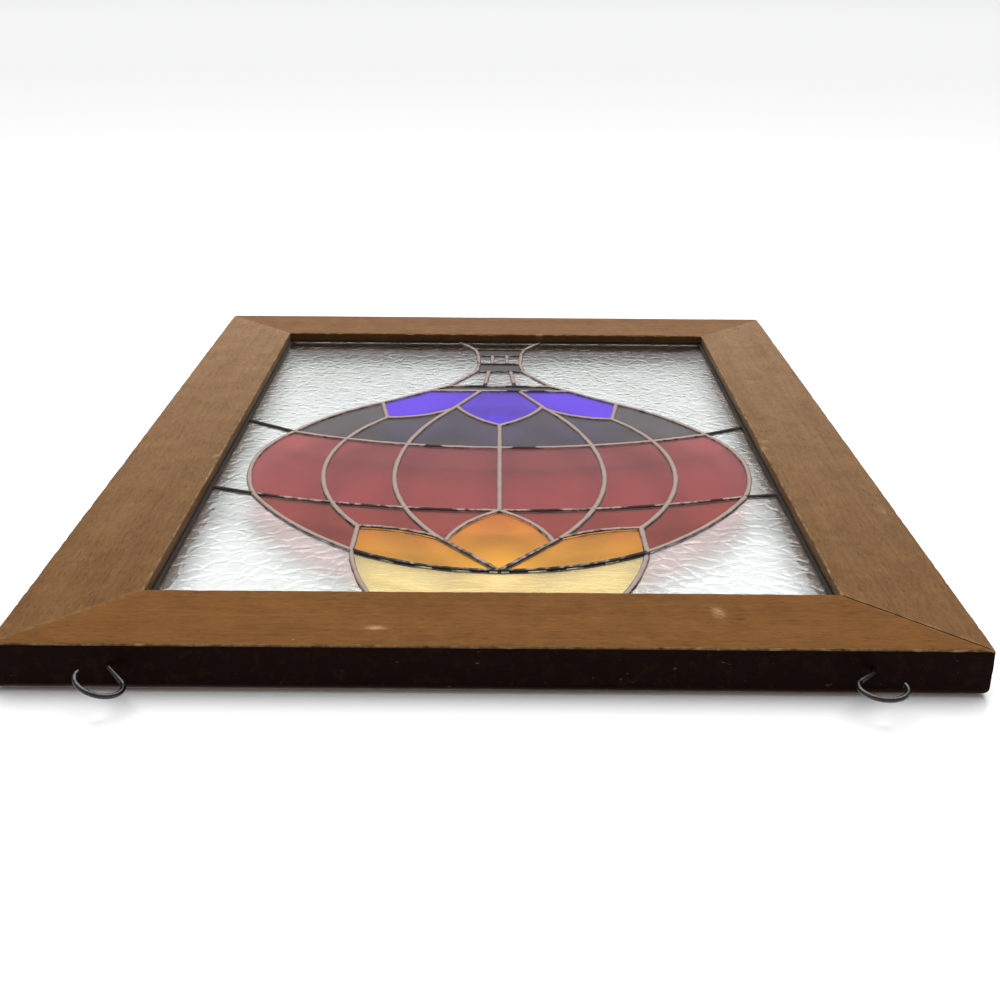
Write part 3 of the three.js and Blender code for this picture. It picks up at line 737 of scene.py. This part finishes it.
def bead(points, level, width, rise, seed):
    """A soldered line along a seam, in mm. Its section is a half-ellipse on each face of the
    glass, joined by the web between two panes; width and rise swell and shrink along it by
    lattice noise, and the ends close as half circles past the seam's last points."""
    step = np.hypot(*np.diff(points, axis=0).T)
    run = np.concatenate([[0.0], np.cumsum(step)])
    tip = width * 0.42
    total = run[-1] + 2 * tip
    close = np.array([0.0, 0.12, 0.45, 0.95, 1.6, 2.3])
    count = max(2, int((total - 4.6) / 2.1))
    at = np.unique(np.concatenate([close, total - close, np.linspace(2.3, total - 2.3, count)]))
    inside = np.clip(at - tip, 0.0, run[-1])
    centre = np.stack([np.interp(inside, run, points[:, k]) for k in (0, 1)], -1)
    ahead = np.clip(inside + 1.2, 0.0, run[-1])
    behind = np.clip(inside - 1.2, 0.0, run[-1])
    tangent = np.stack([np.interp(ahead, run, points[:, k]) - np.interp(behind, run, points[:, k])
                        for k in (0, 1)], -1)
    tangent /= np.hypot(*tangent.T)[:, None]
    centre += tangent * (at - tip - inside)[:, None]
    normal = np.stack([-tangent[:, 1], tangent[:, 0]], -1)

    short = np.minimum(at, total - at)
    taper = np.sqrt(np.clip(1 - (1 - np.clip(short / (width / 2), 0, 1)) ** 2, 0.0004, 1.0))
    row = at * 0 + seed
    swell = 1 + 0.13 * lattice_noise(at / 7, row, 41) + 0.06 * lattice_noise(at / 2.3, row, 42)
    crest = 0.86 + 0.14 * lattice_noise(at / 4, row, 43)
    half = width / 2 * taper * swell
    high = rise * np.sqrt(taper) * crest
    web = np.minimum(WEB_HALF, half * 0.6)
    front, back = np.linspace(0, math.pi, 10), np.linspace(0, math.pi, 7)
    seat = GLASS_HALF + 0.02
    sides = [(-np.outer(half, np.cos(front)), -seat - np.outer(high, np.sin(front))),
             (np.stack([web, web], -1), np.tile([-seat, seat], (len(at), 1))),
             (np.outer(half, np.cos(back)), seat + np.outer(high, np.sin(back)) * 0.9),
             (np.stack([-web, -web], -1), np.tile([seat, -seat], (len(at), 1)))]
    across = np.concatenate([a for a, _ in sides], axis=1)
    depth = np.concatenate([b for _, b in sides], axis=1)
    rows = np.stack([
        PICTURE_SHIFT + centre[:, :1] + normal[:, :1] * across,
        PANEL_Y + depth,
        TOP - (centre[:, 1:] + normal[:, 1:] * across)], axis=-1)
    dark = level + 0.12 * lattice_noise(at / 4, row, 44)
    for x, drop, size in PATCHES:
        dark = dark + 0.75 * np.exp(-(np.hypot(centre[:, 0] - x, centre[:, 1] - drop) / size) ** 4)
    # Painted shade: the flanks of the bead darken towards its edges, on top of the tarnish.
    tarnish = np.clip(dark[:, None] + 0.34 * (np.abs(across) / (width / 2)) ** 4, 0, 1)
    return rows, tarnish


def border_seams():
    """The metal edge round the panel, half hidden in the groove. Its level of 0.95 makes it nearly
    black: tarnish, with painted shade of the groove.
    """
    left, right = -BORDER_X - PICTURE_SHIFT, BORDER_X - PICTURE_SHIFT
    corners = [(left, BORDER_TOP), (right, BORDER_TOP), (right, BORDER_FOOT), (left, BORDER_FOOT)]
    # Painted shade: the near-black border stands in for the shade in the groove as well as tarnish.
    return [(arc(a, b), 0.95) for a, b in zip(corners, corners[1:] + corners[:1])]


class WINDOW_OT_lines(Operator):
    """Make the soldered lines round every pane"""
    bl_idname = "window.lines"
    bl_label = "Soldered lines"

    def execute(self, context):
        s = context.scene.window_lines
        surfaces, tarnish = [], []
        for seed, (points, level) in enumerate(picture_seams() + border_seams()):
            rows, dark = bead(points, level, s.width / MM, s.rise / MM, seed * 3.7)
            surfaces.append(tube(rows * MM))
            tarnish.append(dark.ravel())
        piece = make_piece("soldered_seams", surfaces, solder_material(s),
                           {"tarnish": np.concatenate(tarnish)}, sharp=60.0)
        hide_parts("lead_lines")
        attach(piece, "root")
        return {"FINISHED"}


# ---- Panes ------------------------------------------------------------------------------------


class WINDOW_OT_panes(Operator):
    """Give every pane its coloured glass"""
    bl_idname = "window.panes"
    bl_label = "Glass panes"

    def execute(self, context):
        s = context.scene.window_glass
        faces = {"clear": (s.relief, "crackle", CLEAR_IOR), "yellow": (s.relief, "ripple"),
                 "orange": (0.0002, "smooth", GLASS_IOR, tuple(s.golden))}
        slots = {part["node"]: part["material_slot"] for part in frame["record"]["subparts"]}
        made = {}
        for node, slot in slots.items():
            if not slot.endswith("_glass"):
                continue
            name = slot[:-len("_glass")]
            if name not in made:
                finish = faces.get(name, (0.0001, "smooth"))
                made[name] = glass_material(slot, tuple(getattr(s, name)), *finish)
            mesh = NODES[node].data
            mesh.materials.clear()
            mesh.materials.append(made[name])
        return {"FINISHED"}


# ---- Hooks ------------------------------------------------------------------------------------


LOOP_ANGLES = (205.0, -20.0)  # in degrees, where the loop starts and where it ends open
LOOP_LEVEL, SHANK_RISE, SHANK_DEPTH = 18.0, 2.0, 18.0  # in mm above and below the wood's face


def hook_surface(s):
    """A screw hook in mm: a circle carried along the wire. The wire rises straight, leans out to
    the loop's start and runs round a circle to its open end; its corners are rounded by a
    running mean. z = 0 is where it leaves the wood."""
    loop, radius = s.loop_radius / MM, s.wire / MM / 2
    angle = np.radians(np.linspace(*LOOP_ANGLES, 160))
    circle = np.stack([loop * np.cos(angle), LOOP_LEVEL + loop * np.sin(angle)], -1)
    neck = np.array([0.0, SHANK_RISE])
    route = np.concatenate([arc((0.0, -SHANK_DEPTH), neck), arc(neck, circle[0])[1:], circle[1:]])
    run = np.concatenate([[0.0], np.cumsum(np.hypot(*np.diff(route, axis=0).T))])
    at = np.linspace(0.0, run[-1], int(run[-1] / 0.35))
    wire = np.stack([np.interp(at, run, route[:, k]) for k in (0, 1)], -1)
    reach = 5
    padded = np.concatenate([np.repeat(wire[:1], reach, 0), wire, np.repeat(wire[-1:], reach, 0)])
    mean = np.ones(2 * reach + 1) / (2 * reach + 1)
    wire = np.stack([np.convolve(padded[:, k], mean, "valid") for k in (0, 1)], -1)
    tangent = np.gradient(wire, axis=0)
    tangent /= np.hypot(*tangent.T)[:, None]
    normal = np.stack([-tangent[:, 1], tangent[:, 0]], -1)
    end = np.minimum(at, at[-1] - at)
    thick = radius * np.sqrt(np.clip(1 - (1 - np.clip(end / radius, 0, 1)) ** 2, 0.02, 1))
    turn = np.linspace(0, 2 * math.pi, 20, endpoint=False)
    side, out = np.outer(thick, np.cos(turn)), np.outer(thick, np.sin(turn))
    return np.stack([wire[:, :1] + normal[:, :1] * side, out,
                     wire[:, 1:] + normal[:, 1:] * side], axis=-1)


class WINDOW_OT_hooks(Operator):
    """Make the two screw hooks"""
    bl_idname = "window.hooks"
    bl_label = "Hooks"

    def execute(self, context):
        s = context.scene.window_hooks
        material = steel_material(s)
        local = hook_surface(s)
        for node, (x, turn) in HOOKS.items():
            angle = math.radians(turn)
            placed = np.stack([
                x + local[..., 0] * math.cos(angle) - local[..., 1] * math.sin(angle),
                local[..., 0] * math.sin(angle) + local[..., 1] * math.cos(angle),
                TOP + local[..., 2]], axis=-1)
            piece = make_piece(f"{node}_wire", [tube(placed * MM)], material, sharp=60.0)
            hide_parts(node)
            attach(piece, "root")
        return {"FINISHED"}


# ---- Stage ------------------------------------------------------------------------------------


def add_sun(name, strength, direction, softness):
    """Soft light that travels along direction."""
    lamp = bpy.data.lights.new(name, "SUN")
    lamp.energy = strength
    lamp.angle = math.radians(softness)
    lit = bpy.data.objects.new(name, lamp)
    x, y, z = direction
    lit.rotation_euler = (math.atan2(math.hypot(x, y), -z), 0.0, math.atan2(-x, y))
    bpy.context.scene.collection.objects.link(lit)


class WINDOW_OT_stage(Operator):
    """Make the pale surface behind the panel, the lights and the camera"""
    bl_idname = "window.stage"
    bl_label = "Stage"

    def execute(self, context):
        s = context.scene.window_stage
        scene = context.scene

        behind = (FRONT + FRAME_DEPTH + 0.4) * MM
        reach = 60.0
        mesh = bpy.data.meshes.new("pale_surface")
        mesh.from_pydata([(-reach, behind, -reach), (reach, behind, -reach),
                          (reach, behind, reach), (-reach, behind, reach)], [], [(0, 1, 2, 3)])
        material, bench, shader, out = new_material("pale_surface")
        shader.inputs["Base Color"].default_value = opaque(s.surface)
        shader.inputs["Roughness"].default_value = 0.16
        mixed = bench.add("ShaderNodeMixShader", {
            0: bench.add("ShaderNodeNewGeometry").outputs["Backfacing"],
            1: shader.outputs[0], 2: bench.add("ShaderNodeBsdfTransparent").outputs[0]})
        bench.tree.links.new(mixed.outputs[0], out.inputs["Surface"])
        mesh.materials.append(material)
        surface = bpy.data.objects.new("pale_surface", mesh)
        surface.visible_shadow = False
        surface.visible_diffuse = False
        scene.collection.objects.link(surface)

        add_sun("key_light", s.key, (0.03, 0.89, 0.45), 70)
        add_sun("back_light", s.back, (-0.25, -0.86, 0.44), 50)

        world = bpy.data.worlds.new("studio")
        world.use_nodes = True
        bench = Bench(world.node_tree)
        world.node_tree.nodes.clear()
        path = bench.add("ShaderNodeLightPath")
        seen = bench.math("MAXIMUM", path.outputs["Is Camera Ray"],
                          path.outputs["Is Transmission Ray"])
        mirrored = bench.span(path.outputs["Is Glossy Ray"], 0.0, 1.0, s.fill, s.sheen)
        strength = bench.math("MAXIMUM", mirrored, bench.math("MULTIPLY", seen, 0.95))
        light = bench.add("ShaderNodeBackground", {"Color": (1, 1, 1, 1), "Strength": strength})
        bench.add("ShaderNodeOutputWorld", {"Surface": light.outputs[0]})
        scene.world = world
        scene.view_settings.view_transform = "Standard"
        scene.cycles.caustics_refractive = False
        scene.cycles.caustics_reflective = False

        camera = bpy.data.cameras.new("camera")
        camera.lens = 47.67
        camera.sensor_width = 36.0
        camera.clip_start, camera.clip_end = 0.01, 300.0
        eye = bpy.data.objects.new("camera", camera)
        scene.collection.objects.link(eye)
        eye.matrix_world = camera_place()
        scene.camera = eye
        return {"FINISHED"}


def camera_place():
    """Camera over the front of the panel near its top edge, looking down along it: pitch below
    the panel's plane, yaw to the side and roll about the view, in radians."""
    pitch, yaw, roll = 0.38393, 0.00298, 0.00862
    ahead = np.array([math.sin(yaw) * math.cos(pitch), math.cos(yaw) * math.cos(pitch),
                      -math.sin(pitch)])
    right = np.cross(ahead, [0.0, 0.0, 1.0])
    right /= np.linalg.norm(right)
    up = np.cross(right, ahead)
    right, up = (math.cos(roll) * right + math.sin(roll) * up,
                 -math.sin(roll) * right + math.cos(roll) * up)
    hung = np.array([[-1.0, 0.0, 0.0], [0.0, 0.0, -1.0], [0.0, -1.0, 0.0]])
    place = np.eye(4)
    place[:3, 0], place[:3, 1], place[:3, 2] = hung @ right, hung @ up, hung @ -ahead
    place[:3, 3] = (-0.00165, -0.3289, 0.5601)
    return Matrix(place.tolist())


class WINDOW_PT_maker(Panel):
    bl_idname = "WINDOW_PT_maker"
    bl_label = "Stained glass panel"
    bl_space_type = "VIEW_3D"
    bl_region_type = "UI"
    bl_category = "Panel maker"

    def draw(self, context):
        scene = context.scene
        for owner, operator in ((scene.window_wood, WINDOW_OT_members),
                                (scene.window_lines, WINDOW_OT_lines),
                                (scene.window_glass, WINDOW_OT_panes),
                                (scene.window_hooks, WINDOW_OT_hooks),
                                (scene.window_stage, WINDOW_OT_stage)):
            column = self.layout.column(align=True)
            for key in owner.bl_rna.properties.keys():
                if key not in {"rna_type", "name"}:
                    column.prop(owner, key)
            column.operator(operator.bl_idname)


SETTINGS = {"window_wood": WoodSettings, "window_lines": LineSettings,
            "window_glass": GlassSettings, "window_hooks": HookSettings,
            "window_stage": StageSettings}
CLASSES = (*SETTINGS.values(), WINDOW_OT_members, WINDOW_OT_lines, WINDOW_OT_panes,
           WINDOW_OT_hooks, WINDOW_OT_stage, WINDOW_PT_maker)


def register():
    for cls in CLASSES:
        bpy.utils.register_class(cls)
    for name, settings in SETTINGS.items():
        setattr(bpy.types.Scene, name, PointerProperty(type=settings))


def unregister():
    for name in SETTINGS:
        delattr(bpy.types.Scene, name)
    for cls in reversed(CLASSES):
        bpy.utils.unregister_class(cls)


def main():
    register()
    bpy.ops.window.stage()
    bpy.ops.window.members()
    bpy.ops.window.lines()
    bpy.ops.window.panes()
    bpy.ops.window.hooks()


if __name__ == "__main__":
    main()
